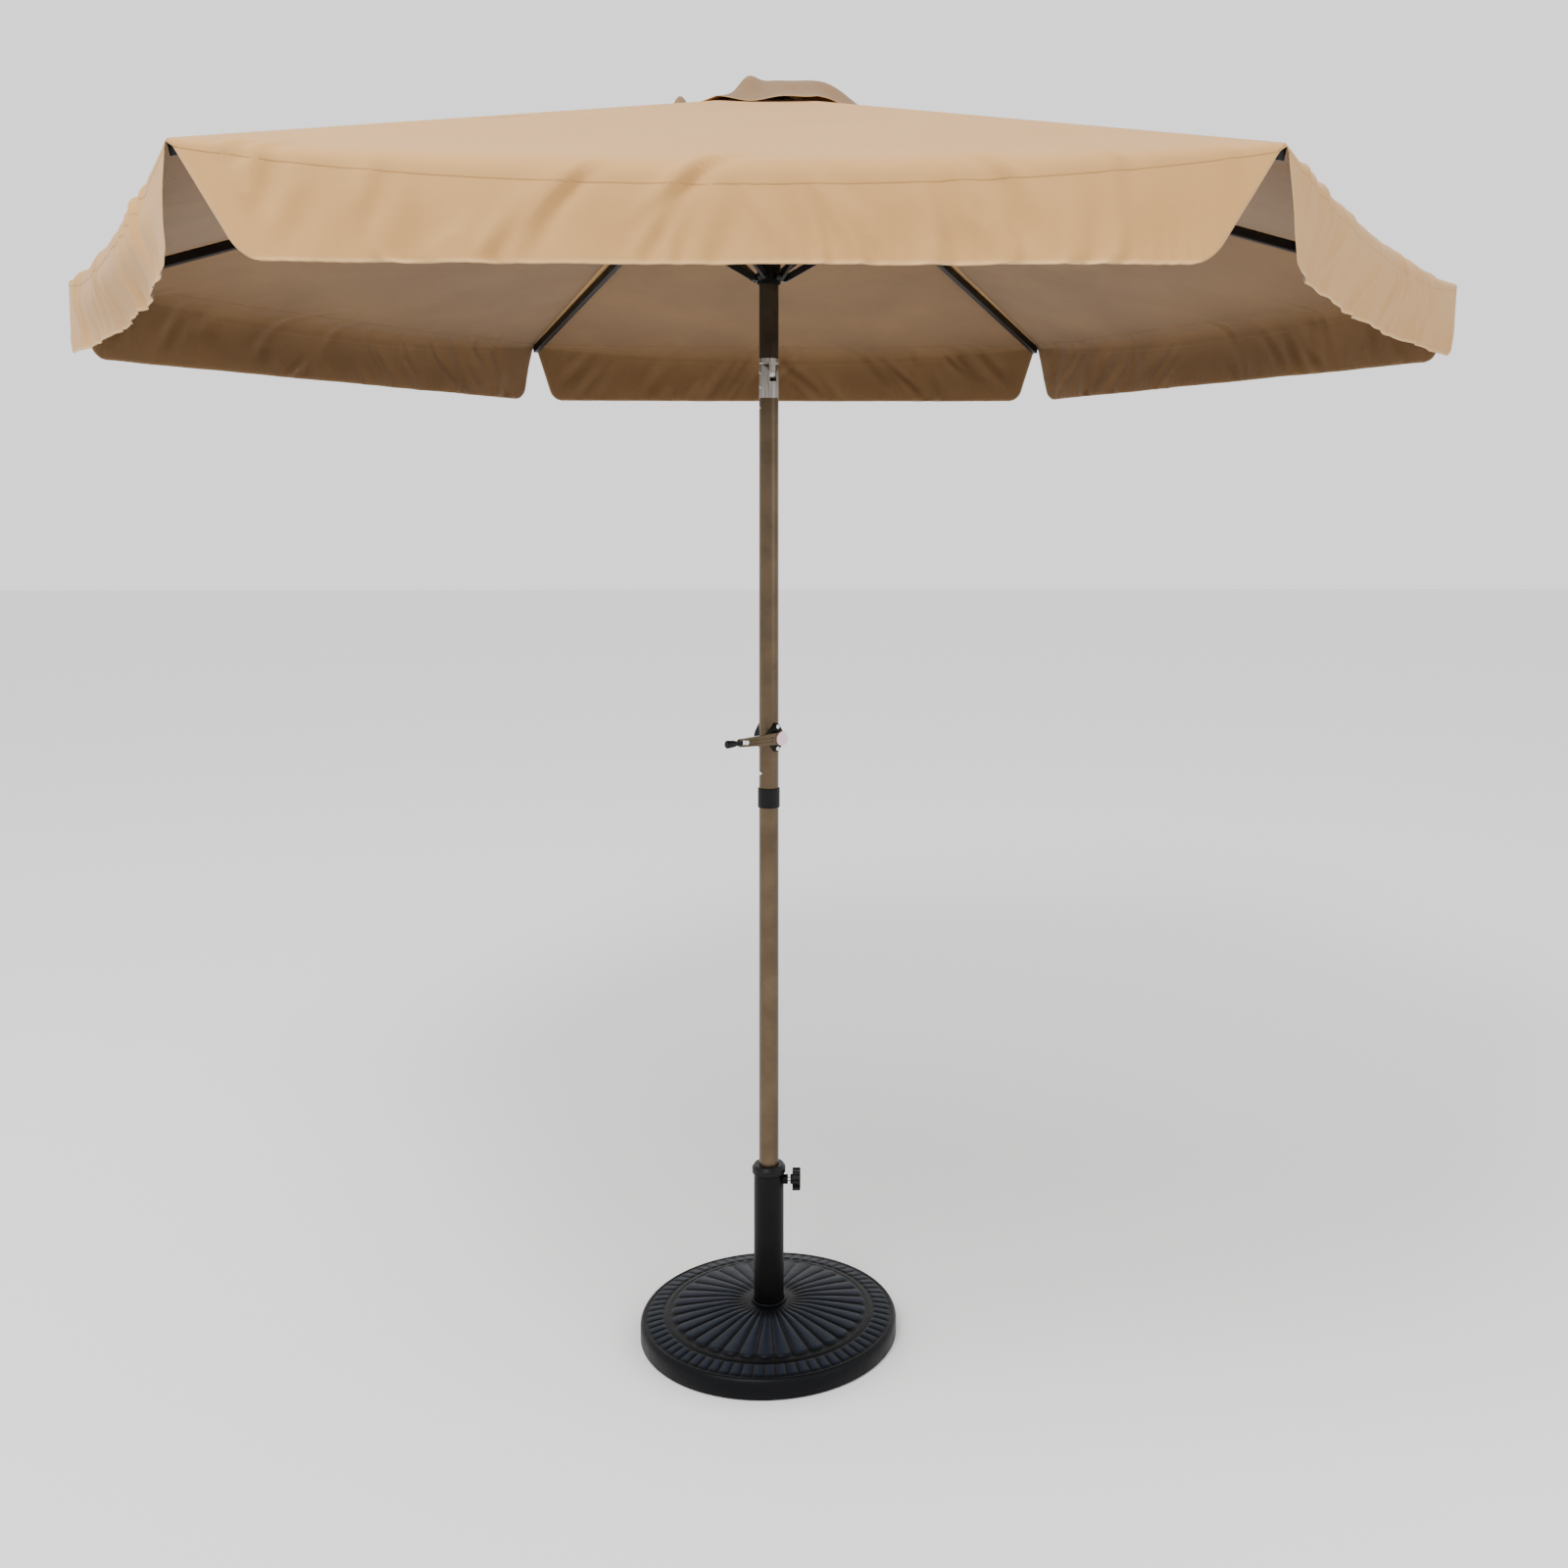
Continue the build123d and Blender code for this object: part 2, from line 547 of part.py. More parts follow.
def make_strut(azimuth):
    """A strut: a flat bar beside the rib, with the rivet of its lower end."""
    with BuildPart() as strut:
        middle = (strut_top + strut_foot) * 0.5
        angle = degrees(atan2(strut_span.Z, strut_span.X))
        with BuildSketch(radial_plane(azimuth, STRUT_LANE + STRUT_W)):
            with Locations(Location((middle.X, middle.Z), angle)):
                SlotCenterToCenter(strut_span.length, STRUT_H)
        extrude(amount=STRUT_W)
        with BuildSketch(radial_plane(azimuth, STRUT_LANE + STRUT_W + 1.6)):
            with Locations((strut_foot.X, strut_foot.Z), (strut_top.X, strut_top.Z)):
                Circle(4)
        extrude(amount=2)
        with BuildSketch(radial_plane(azimuth, STRUT_LANE + 0.5)):
            with Locations((strut_foot.X, strut_foot.Z)):
                Circle(RIB_PIN_R)
        extrude(amount=8)
    return strut


# ---------------------------------------------------------------- the cloth
def panel_plane(azimuth, height):
    """The plane of a canopy panel, height below its outer face: local X is sideways, local Y is uphill."""
    hem = outward(azimuth) * EDGE_R + Vector(0, 0, CORNER_Z)
    uphill = -outward(azimuth) * cos(radians(PANEL_SLOPE)) + Vector(0, 0, sin(radians(PANEL_SLOPE)))
    across = -sideways(azimuth)
    return Plane(origin=hem, x_dir=across, z_dir=across.cross(uphill)).offset(-height)


def make_panel(azimuth):
    """One canopy panel: the cloth between two ribs, from the vent to the hem."""
    seam_gap = 1.6
    half_hem = CORNER_R * sin(radians(STEP / 2)) - seam_gap
    slant = EDGE_R / cos(radians(PANEL_SLOPE))
    top_at = slant - PANEL_TOP
    half_top = half_hem * PANEL_TOP / slant - seam_gap / 2
    with BuildPart() as panel:
        with BuildSketch(panel_plane(azimuth, CLOTH)):
            with BuildLine():
                Polyline(
                    (-half_hem, 1),
                    (half_hem, 1),
                    (half_top, top_at),
                    (-half_top, top_at),
                    close=True,
                )
            make_face()
        extrude(amount=CLOTH)
    return panel


def make_flap(azimuth):
    """One valance flap: a strip that hangs from the hem, with rounded lower corners."""
    half = CORNER_R * sin(radians(STEP / 2)) - 3
    top = CORNER_Z - 6 - 0.5
    low = CORNER_Z - FLAP_H
    with BuildPart() as flap:
        with BuildSketch(facing_plane(azimuth, EDGE_R - CLOTH, 0)):
            with BuildLine():
                FilletPolyline(
                    (half, top),
                    (half - FLAP_TAPER, low),
                    (FLAP_TAPER - half, low),
                    (-half, top),
                    radius=FLAP_CORNER,
                )
                Line((-half, top), (half, top))
            make_face()
        extrude(amount=CLOTH)
    return flap


for number, azimuth in enumerate(RIB_AZIMUTHS, 1):
    finish(make_rib(azimuth), f"rib_{number}")
    finish(make_fittings(azimuth), f"rib_fittings_{number}")
    finish(make_strut(azimuth), f"strut_{number}")

for number, azimuth in enumerate(PANEL_AZIMUTHS, 1):
    finish(make_panel(azimuth), f"panel_{number}")
    finish(make_flap(azimuth), f"flap_{number}")

with BuildPart() as vent_cap:
    with BuildSketch(Plane.XZ):
        with BuildLine():
            Polyline(
                (0, TOP_Z),
                (60, TOP_Z - 4),
                (VENT_R, TOP_Z - 56),
                (VENT_R, TOP_Z - 56 - CLOTH),
                (60, TOP_Z - 4 - CLOTH),
                (0, TOP_Z - CLOTH),
                close=True,
            )
        make_face()
    revolve(axis=Axis.Z)
finish(vent_cap, "vent_cap")

print(f"hub pivot {HUB_PIVOT_R:.2f} {HUB_PIVOT_Z:.3f}, rib slope {RIB_SLOPE}, panel slope {PANEL_SLOPE:.3f}")
print(f"strut top {strut_top.X:.3f} {strut_top.Z:.3f}, length {strut_span.length:.3f}")
print(f"hem at {EDGE_R:.3f}, rib run {RIB_RUN:.2f}, pulley {PULLEY_Z:.3f}")
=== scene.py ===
# %% [markdown]
# # A patio umbrella in its resin base
# The poles, joints, ribs, struts and crank come from the engineering model and keep their
# shape. This lesson adds what a factory's sewing room and paint shop add: the cloth canopy
# with its hanging flaps and vent, the moulded relief of the base, and the finish of each part.

# %% Load the engineering model
import json
import math
import random

import bmesh
import bpy
from mathutils import Matrix, Vector, noise
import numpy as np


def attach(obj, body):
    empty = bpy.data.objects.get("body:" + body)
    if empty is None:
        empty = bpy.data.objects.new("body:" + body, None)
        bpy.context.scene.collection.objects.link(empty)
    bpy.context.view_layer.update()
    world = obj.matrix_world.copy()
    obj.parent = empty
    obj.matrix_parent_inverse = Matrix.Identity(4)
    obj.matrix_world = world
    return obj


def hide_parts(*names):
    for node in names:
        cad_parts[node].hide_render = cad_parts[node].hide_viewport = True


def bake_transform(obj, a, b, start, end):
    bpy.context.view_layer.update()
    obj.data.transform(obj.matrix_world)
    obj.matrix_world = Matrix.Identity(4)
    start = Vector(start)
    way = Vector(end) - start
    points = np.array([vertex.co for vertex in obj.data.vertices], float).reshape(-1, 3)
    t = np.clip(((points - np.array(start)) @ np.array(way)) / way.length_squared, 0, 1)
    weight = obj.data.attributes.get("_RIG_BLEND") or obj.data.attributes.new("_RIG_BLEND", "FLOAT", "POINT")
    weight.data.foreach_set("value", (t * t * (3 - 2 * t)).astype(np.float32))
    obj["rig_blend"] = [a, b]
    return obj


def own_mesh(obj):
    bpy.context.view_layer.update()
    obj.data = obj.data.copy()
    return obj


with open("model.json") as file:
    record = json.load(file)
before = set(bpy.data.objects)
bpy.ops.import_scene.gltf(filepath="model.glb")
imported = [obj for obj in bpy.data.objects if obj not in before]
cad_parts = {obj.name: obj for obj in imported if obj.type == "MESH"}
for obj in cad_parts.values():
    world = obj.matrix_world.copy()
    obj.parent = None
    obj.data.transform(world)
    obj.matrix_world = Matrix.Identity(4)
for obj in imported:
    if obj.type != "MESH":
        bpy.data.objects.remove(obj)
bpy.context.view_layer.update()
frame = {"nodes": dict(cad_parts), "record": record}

# %% [markdown]
# ## Driving sizes
# The canopy is a hexagon. Its corners sit on the rib ends and its hem is a straight line
# between two corners. Every later size is worked out from these few values, in metres.

# %% Driving sizes
SIDES = 6
STEP = math.radians(360 / SIDES)
CORNER_R = 1.3534
CORNER_Z = 2.0436
RIB_SLOPE = math.radians(15)
CLOTH_LIFT = 0.0135
HUB_PIVOT_R = 0.040
EDGE_R = CORNER_R * math.cos(STEP / 2)
HALF_HEM = CORNER_R * math.sin(STEP / 2)
APEX_Z = CORNER_Z + CORNER_R * math.tan(RIB_SLOPE)
PANEL_SLOPE = math.atan2(APEX_Z - CORNER_Z, EDGE_R)
RIB_RISE = (CORNER_R - HUB_PIVOT_R) * math.tan(RIB_SLOPE)
PIVOT_Z = CORNER_Z + RIB_RISE - CLOTH_LIFT / math.cos(RIB_SLOPE)
PANEL_AZIMUTHS = [STEP * k for k in range(SIDES)]
RIB_AZIMUTHS = [STEP / 2 + STEP * k for k in range(SIDES)]
print("hem at", round(EDGE_R, 4), "panel slope", round(math.degrees(PANEL_SLOPE), 2))


def outward(azimuth):
    """The level unit vector away from the pole; azimuth 0 faces the front."""
    return Vector((math.sin(azimuth), -math.cos(azimuth), 0))


def sideways(azimuth):
    """The level unit vector along a hem."""
    return Vector((math.cos(azimuth), math.sin(azimuth), 0))


def place(azimuth, side, radius, height):
    """The point at a distance along the hem, out from the pole, and up."""
    return sideways(azimuth) * side + outward(azimuth) * radius + Vector((0, 0, height))


def ease(low, high, value):
    """A smooth step from 0 at low to 1 at high."""
    share = min(max((value - low) / (high - low), 0), 1)
    return share * share * (3 - 2 * share)


# %% [markdown]
# ## Floor, light and camera
# A pale floor, a white world and two large soft lights keep the shadows gentle, so the
# cloth's shape reads from its own shading. The camera stands level at standing eye height, a
# little over three metres away, and a lens shift frames the object as an architect's camera would.

# %% Floor, light and camera
def make_stage():
    bpy.ops.mesh.primitive_plane_add(size=60)
    floor = bpy.context.object
    floor.name = "floor"
    finish = bpy.data.materials.new("pale_floor")
    finish.use_nodes = True
    shader = finish.node_tree.nodes["Principled BSDF"]
    shader.inputs["Base Color"].default_value = (0.86, 0.86, 0.86, 1)
    shader.inputs["Roughness"].default_value = 0.9
    floor.data.materials.append(finish)
    world = bpy.data.worlds.new("studio")
    world.use_nodes = True
    world.node_tree.nodes["Background"].inputs["Color"].default_value = (1, 1, 1, 1)
    world.node_tree.nodes["Background"].inputs["Strength"].default_value = 1.45
    bpy.context.scene.world = world


def soft_light(name, spot, aim, size, power):
    lamp = bpy.data.lights.new(name, "AREA")
    lamp.size = size
    lamp.energy = power
    holder = bpy.data.objects.new(name, lamp)
    holder.location = spot
    holder.rotation_euler = (Vector(aim) - Vector(spot)).to_track_quat("-Z", "Y").to_euler()
    bpy.context.collection.objects.link(holder)


def make_camera():
    lens = bpy.data.cameras.new("camera")
    lens.lens = 36.16
    lens.sensor_width = 36
    lens.shift_x = -0.0499
    lens.shift_y = -0.1724
    lens.dof.use_dof = False
    holder = bpy.data.objects.new("camera", lens)
    holder.location = (0.1226, -3.0756, 1.593)
    holder.rotation_euler = (math.radians(90), 0, math.radians(-1.11))
    bpy.context.collection.objects.link(holder)
    bpy.context.scene.camera = holder


make_stage()
soft_light("key", (-1.5, -3.5, 5.5), (0, 0, 1.8), 2.0, 380)
soft_light("fill", (4.0, -2.5, 2.5), (0, 0, 1.2), 3.0, 45)
make_camera()
print("stage ready")

# %% [markdown]
# ## Materials
# Each finish is a small node tree. A helper starts one with a Principled shader and hands
# back its parts; the finish then adds noise for colour change, roughness and fine bump. The
# patterns read Object coordinates in metres, so their scale is real on every piece.

# %% A helper for finishes
def start_finish(name, colour, roughness, metallic=0.0):
    finish = bpy.data.materials.new(name)
    finish.use_nodes = True
    tree = finish.node_tree
    shader = tree.nodes["Principled BSDF"]
    shader.inputs["Base Color"].default_value = (*colour, 1)
    shader.inputs["Roughness"].default_value = roughness
    shader.inputs["Metallic"].default_value = metallic
    coordinates = tree.nodes.new("ShaderNodeTexCoord")
    return finish, tree, shader, coordinates.outputs["Object"]


def add_noise(tree, vector, scale, detail=3.0, stretch=None):
    if stretch:
        mapping = tree.nodes.new("ShaderNodeMapping")
        mapping.inputs["Scale"].default_value = stretch
        tree.links.new(vector, mapping.inputs["Vector"])
        vector = mapping.outputs["Vector"]
    cloud = tree.nodes.new("ShaderNodeTexNoise")
    cloud.inputs["Scale"].default_value = scale
    cloud.inputs["Detail"].default_value = detail
    tree.links.new(vector, cloud.inputs["Vector"])
    return cloud.outputs["Fac"]


def add_ramp(tree, value, stops):
    ramp = tree.nodes.new("ShaderNodeValToRGB")
    ramp.color_ramp.elements[0].position = stops[0][0]
    ramp.color_ramp.elements[0].color = (*stops[0][1], 1)
    ramp.color_ramp.elements[1].position = stops[-1][0]
    ramp.color_ramp.elements[1].color = (*stops[-1][1], 1)
    for position, colour in stops[1:-1]:
        ramp.color_ramp.elements.new(position).color = (*colour, 1)
    tree.links.new(value, ramp.inputs["Fac"])
    return ramp.outputs["Color"]


def add_range(tree, value, low, high):
    spread = tree.nodes.new("ShaderNodeMapRange")
    spread.inputs["To Min"].default_value = low
    spread.inputs["To Max"].default_value = high
    tree.links.new(value, spread.inputs["Value"])
    return spread.outputs["Result"]


def add_bump(tree, shader, height, strength, distance):
    bump = tree.nodes.new("ShaderNodeBump")
    bump.inputs["Strength"].default_value = strength
    bump.inputs["Distance"].default_value = distance
    tree.links.new(height, bump.inputs["Height"])
    previous = shader.inputs["Normal"].links
    if previous:
        tree.links.new(previous[0].from_socket, bump.inputs["Normal"])
    tree.links.new(bump.outputs["Normal"], shader.inputs["Normal"])


# %% [markdown]
# ### Cloth
# The canopy is a plain-woven polyester, tan outside. Two crossed wave patterns on the piece's
# own UV map make the weave, because the map follows the cloth where it bends. A painted
# attribute marks the free edges, where the folded hem is a little lighter. The inner face is
# the same cloth in a darker brown, painted as the shade under the canopy.

# %% Cloth
def make_cloth(name, colours):
    finish, tree, shader, spot = start_finish(name, colours[1], 0.85)
    shader.inputs["Sheen Weight"].default_value = 0.1
    shader.inputs["Sheen Roughness"].default_value = 0.5
    blotch = add_noise(tree, spot, 5.0, 5.0)
    colour = add_ramp(tree, blotch, [(0.3, colours[0]), (0.7, colours[1])])
    edge = tree.nodes.new("ShaderNodeAttribute")
    edge.attribute_name = "hem"
    mix = tree.nodes.new("ShaderNodeMix")
    mix.data_type = "RGBA"
    mix.inputs["B"].default_value = (*colours[2], 1)
    tree.links.new(edge.outputs["Fac"], mix.inputs["Factor"])
    tree.links.new(colour, mix.inputs["A"])
    tree.links.new(mix.outputs["Result"], shader.inputs["Base Color"])
    uv = tree.nodes.new("ShaderNodeUVMap")
    uv.uv_map = "cloth"
    for direction in ("X", "Y"):
        thread = tree.nodes.new("ShaderNodeTexWave")
        thread.bands_direction = direction
        thread.inputs["Scale"].default_value = 260
        thread.inputs["Distortion"].default_value = 0.6
        tree.links.new(uv.outputs["UV"], thread.inputs["Vector"])
        add_bump(tree, shader, thread.outputs["Fac"], 0.25, 0.0004)
    crumple = add_noise(tree, uv.outputs["UV"], 14.0, 4.0)
    add_bump(tree, shader, crumple, 0.35, 0.006)
    return finish


cloth_outer = make_cloth("canopy_cloth", [(0.42, 0.221, 0.066), (0.445, 0.237, 0.072), (0.53, 0.32, 0.13)])
# The inner face's darker browns are painted shade for the underside of the canopy.
painted_shade_browns = [(0.140, 0.072, 0.024), (0.175, 0.093, 0.032), (0.21, 0.12, 0.048)]
cloth_painted_shade = make_cloth("canopy_inner_painted_shade", painted_shade_browns)

# %% [markdown]
# ### Metals and plastics
# The bronze pole is powder-coated metal with a soft lengthwise highlight, and its upper part
# is painted darker as shade. The tilt joint is
# bare extruded aluminium with fine drawn lines. The resin base is black, with a blue-grey
# painted sheen on its high places and painted shade on its sunk ground, and the housings are
# satin black plastic.

# %% Metals and plastics
def make_coated(name, low, high, roughness, metallic, shine=0.5):
    finish, tree, shader, spot = start_finish(name, high, roughness, metallic)
    shader.inputs["Specular IOR Level"].default_value = shine
    cloud = add_noise(tree, spot, 18.0, 4.0)
    tree.links.new(add_ramp(tree, cloud, [(0.35, low), (0.65, high)]), shader.inputs["Base Color"])
    tree.links.new(add_range(tree, cloud, roughness - 0.05, roughness + 0.08), shader.inputs["Roughness"])
    add_bump(tree, shader, add_noise(tree, spot, 900.0, 2.0), 0.12, 0.0003)
    return finish


def make_drawn(name, low, high, roughness):
    finish, tree, shader, spot = start_finish(name, high, roughness, 1.0)
    streak = add_noise(tree, spot, 60.0, 4.0, (14, 14, 0.25))
    tree.links.new(add_ramp(tree, streak, [(0.3, low), (0.7, high)]), shader.inputs["Base Color"])
    tree.links.new(add_range(tree, streak, roughness - 0.08, roughness + 0.12), shader.inputs["Roughness"])
    add_bump(tree, shader, streak, 0.2, 0.0004)
    return finish


def make_resin():
    finish, tree, shader, spot = start_finish("base_resin", (0.005, 0.006, 0.009), 0.42)
    shader.inputs["Specular IOR Level"].default_value = 0.10
    # The relief share paints light: a blue-grey painted sheen on the crests, painted shade on the sunk
    # ground.
    height = tree.nodes.new("ShaderNodeAttribute")
    height.attribute_name = "relief"
    stops = [(0.0, (0.001, 0.001, 0.0015)), (0.6, (0.002, 0.0025, 0.004)), (1.0, (0.006, 0.009, 0.017))]
    painted_sheen_and_shade = add_ramp(tree, height.outputs["Fac"], stops)
    tree.links.new(painted_sheen_and_shade, shader.inputs["Base Color"])
    patches = add_noise(tree, spot, 22.0, 5.0)
    tree.links.new(add_range(tree, patches, 0.34, 0.55), shader.inputs["Roughness"])
    add_bump(tree, shader, add_noise(tree, spot, 160.0, 4.0), 0.35, 0.0012)
    add_bump(tree, shader, add_noise(tree, spot, 30.0, 3.0), 0.25, 0.004)
    return finish


def make_disc():
    finish, tree, shader, spot = start_finish("pearl_disc", (0.74, 0.72, 0.80), 0.25)
    shader.inputs["Coat Weight"].default_value = 0.6
    tint = add_noise(tree, spot, 40.0, 2.0)
    stops = [(0.35, (0.80, 0.55, 0.62)), (0.5, (0.80, 0.78, 0.84)), (0.65, (0.42, 0.55, 0.80))]
    colour = add_ramp(tree, tint, stops)
    tree.links.new(colour, shader.inputs["Base Color"])
    return finish


bronze = make_coated("pole_bronze", (0.080, 0.055, 0.031), (0.110, 0.077, 0.045), 0.30, 0.8)
# Painted shade: a darker bronze for the upper pole, which stands in shade under the canopy.
painted_shade_bronze = make_coated("upper_pole_painted_shade", (0.022, 0.015, 0.009), (0.036, 0.026, 0.016), 0.34, 0.5, 0.3)
rib_paint = make_coated("rib_paint", (0.004, 0.003, 0.0025), (0.008, 0.006, 0.005), 0.42, 0.0, 0.2)
black_plastic = make_coated("black_plastic", (0.002, 0.002, 0.002), (0.005, 0.005, 0.005), 0.40, 0.0, 0.16)
black_tube = make_coated("black_tube", (0.001, 0.001, 0.001), (0.0025, 0.0025, 0.003), 0.38, 0.0, 0.12)
bare_aluminium = make_drawn("bare_aluminium", (0.16, 0.15, 0.14), (0.60, 0.57, 0.54), 0.30)
bright_steel = make_drawn("bright_steel", (0.62, 0.61, 0.60), (0.86, 0.85, 0.84), 0.25)
inner_steel = make_drawn("inner_steel", (0.32, 0.32, 0.33), (0.5, 0.5, 0.5), 0.4)
resin = make_resin()
pearl_disc = make_disc()

SLOT_FINISH = {
    "canopy_cloth": cloth_outer,
    "pole_bronze": bronze,
    "rib_paint": rib_paint,
    "black_plastic": black_plastic,
    "black_tube": black_tube,
    "bare_aluminium": bare_aluminium,
    "bright_steel": bright_steel,
    "inner_steel": inner_steel,
    "base_resin": resin,
    "cap_disc": pearl_disc,
}
node_slots = {part["node"]: part["material_slot"] for part in frame["record"]["subparts"]}
for node_name, node in frame["nodes"].items():
    for socket in node.material_slots:
        socket.material = SLOT_FINISH[node_slots[node_name]]
# The upper pole takes the darker bronze as painted shade.
for socket in frame["nodes"]["upper_pole"].material_slots:
    socket.material = painted_shade_bronze
print("finishes on", len(node_slots), "nodes")


# %% [markdown]
# ## Turning a bmesh into a piece
# Every new piece ends the same way: its mesh becomes an object at the origin, its finish is
# set, and it is told which body carries it.

# %% Turning a bmesh into a piece
def make_piece(name, shape, finishes, body=None):
    mesh = bpy.data.meshes.new(name)
    shape.to_mesh(mesh)
    shape.free()
    piece = bpy.data.objects.new(name, mesh)
    bpy.context.collection.objects.link(piece)
    for finish in finishes:
        mesh.materials.append(finish)
    for face in mesh.polygons:
        face.use_smooth = True
    if body:
        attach(piece, body)
    return piece


def cloth_grid(columns, rows):
    """A flat grid whose corners are (0, 0) and (1, 1), with the layers that cloth needs."""
    shape = bmesh.new()
    bmesh.ops.create_grid(shape, x_segments=columns, y_segments=rows, size=0.5)
    bmesh.ops.translate(shape, verts=shape.verts, vec=(0.5, 0.5, 0))
    shape.verts.layers.float.new("hem")
    shape.loops.layers.uv.new("cloth")
    return shape


def drape(shape, surface):
    """Moves each grid point to surface(across, along) and keeps its flat place as UV."""
    uv_layer = shape.loops.layers.uv["cloth"]
    hem_layer = shape.verts.layers.float["hem"]
    flat = {}
    for vert in shape.verts:
        point, flat_place, hem = surface(vert.co.x, vert.co.y)
        flat[vert] = flat_place
        vert[hem_layer] = hem
        vert.co = point
    for face in shape.faces:
        for loop in face.loops:
            loop[uv_layer].uv = flat[loop.vert]
    return shape


def thicken(piece, thickness):
    wall = piece.modifiers.new("thickness", "SOLIDIFY")
    wall.thickness = thickness
    wall.offset = -1
    wall.material_offset = 1
    wall.material_offset_rim = 0
    return piece


# %% [markdown]
# ## The shape of one side of the canopy
# A panel is nearly flat, because the ribs stretch it, but it sags a little between them, most
# along the hem. There the cloth turns down round a soft fold, tight at the corners, where the
# rib ends pull it, and loose in the middle. The flap then hangs almost straight. A formula
# gives the point for any place across and down the cloth, and soft creases are added to it.

# %% The shape of one side
CLOTH_THICK = 0.0007
SEAM_GAP = 0.0006
PANEL_TOP = 0.067
SAG = 0.021
FLAP_DROP = 0.146
FLAP_TAPERS = [0.088, 0.060, 0.048, 0.048, 0.048, 0.060]
FLAP_CORNER = 0.026
FOLD_TIGHT = 0.006
FOLD_LOOSE = 0.042
slant_length = EDGE_R / math.cos(PANEL_SLOPE)


def fold_radius(across):
    """Radius of the turn at the hem, for a place from -1 to 1 across the panel."""
    return FOLD_TIGHT + (FOLD_LOOSE - FOLD_TIGHT) * (1 - abs(across) ** 2.5)


def fold_start(across):
    """How far above the hem the turn begins, measured down the slope."""
    return fold_radius(across) * math.tan((math.pi / 2 - PANEL_SLOPE) / 2)


def fold_end(across):
    """How far past the hem, along the cloth, the turn ends."""
    return fold_radius(across) * (math.pi / 2 - PANEL_SLOPE) - fold_start(across)


def flap_half_width(hang, taper):
    """Half the flap's width at a depth below the hem, with the lower corners rounded."""
    half = HALF_HEM - 0.004 * ease(0, 0.010, hang) - taper * max(0.0, hang) / FLAP_DROP
    lift = FLAP_DROP - hang
    if lift < FLAP_CORNER:
        half -= FLAP_CORNER * 0.9 * (1 - math.sqrt(max(0.0, 1 - (1 - lift / FLAP_CORNER) ** 2)))
    return half


def cloth_drop(across):
    """Cloth length below the hem: the loose middle needs less to end level with the corners."""
    return FLAP_DROP * (1.0 - 0.15 * (1 - across * across) ** 0.8)


def cloth_width(across, down, k):
    """How much a place is drawn in sideways: below the hem by the flap's taper, above it by the seam."""
    if down <= 0:
        return 1 - SEAM_GAP / HALF_HEM
    hang = min(down / cloth_drop(across), 1.0)
    return flap_half_width(hang * FLAP_DROP, FLAP_TAPERS[k]) / HALF_HEM


class Creases:
    """Soft straight folds scattered over a cloth, each a ridge beside a valley."""

    def __init__(self, seed, count, width, depth, length, slope_of):
        rng = random.Random(seed)
        self.folds = []
        for _ in range(count):
            x = rng.uniform(-0.92, 0.92) * HALF_HEM
            y = rng.uniform(-0.135, 0.01)
            slope = slope_of(x, rng)
            self.folds.append((x, y, math.cos(slope), math.sin(slope), rng.uniform(*width),
                               rng.uniform(*depth), rng.uniform(*length)))

    def height(self, x, y):
        total = 0.0
        for cx, cy, along_x, along_y, width, depth, length in self.folds:
            run = (x - cx) * along_x + (y - cy) * along_y
            off = (y - cy) * along_x - (x - cx) * along_y
            if abs(run) < length * 2 and abs(off) < width * 3:
                swell = math.exp(-(run / length) ** 2)
                total += depth * swell * math.exp(-(off / width) ** 2)
                total -= 0.6 * depth * swell * math.exp(-((off - 1.5 * width) / width) ** 2)
        return total


def pull_slope(x, rng):
    """Creases run from the middle of the hem down and out to the flap's lower corners."""
    lean = rng.uniform(38, 66)
    return math.radians(-lean if x > 0 else lean - 180)


def side_point(across, down, creases, seed):
    """The cloth at a place across (-1 to 1) and down the slope from the hem, in metres."""
    radius = fold_radius(across)
    turn = math.pi / 2 - PANEL_SLOPE
    lead = radius * math.tan(turn / 2)
    arc = radius * turn
    sag = SAG * (1 - across * across) ** 0.8
    if down <= -lead:
        reach = EDGE_R + down * math.cos(PANEL_SLOPE)
        height = CORNER_Z - down * math.sin(PANEL_SLOPE)
        tilt = PANEL_SLOPE
        fade = max(0.0, 1 + down / slant_length) ** 1.6
        height -= sag * fade
    elif down <= -lead + arc:
        bend = (down + lead) / radius
        centre_r = EDGE_R - lead * math.cos(PANEL_SLOPE) - radius * math.sin(PANEL_SLOPE)
        centre_z = CORNER_Z + lead * math.sin(PANEL_SLOPE) - radius * math.cos(PANEL_SLOPE)
        tilt = PANEL_SLOPE + bend
        reach = centre_r + radius * math.sin(tilt)
        height = centre_z + radius * math.cos(tilt) - sag * (1 - 0.25 * ease(0, turn, bend))
    else:
        tilt = math.pi / 2
        hang = down + lead - arc
        centre_r = EDGE_R - lead * math.cos(PANEL_SLOPE) - radius * math.sin(PANEL_SLOPE)
        centre_z = CORNER_Z + lead * math.sin(PANEL_SLOPE) - radius * math.cos(PANEL_SLOPE)
        reach = centre_r + radius
        height = centre_z - hang - sag * 0.75
    side = across * HALF_HEM * reach_share(down)
    rise = creases.height(side, -down)
    spot = Vector((side * 5 + seed, down * 7, seed * 1.7))
    rise += 0.0022 * noise.noise(spot) * ease(-1.1, -0.2, down)
    taut = ease(0.0, 0.12, 1 - abs(across))
    rise *= taut
    reach += rise * math.sin(tilt)
    height += rise * math.cos(tilt)
    return side, min(reach, EDGE_R + 0.006), height


def reach_share(down):
    """How wide the panel is there, as a share of the hem; the flap keeps the hem's width."""
    return 1.0 if down >= 0 else max(0.0, 1 + down / slant_length)
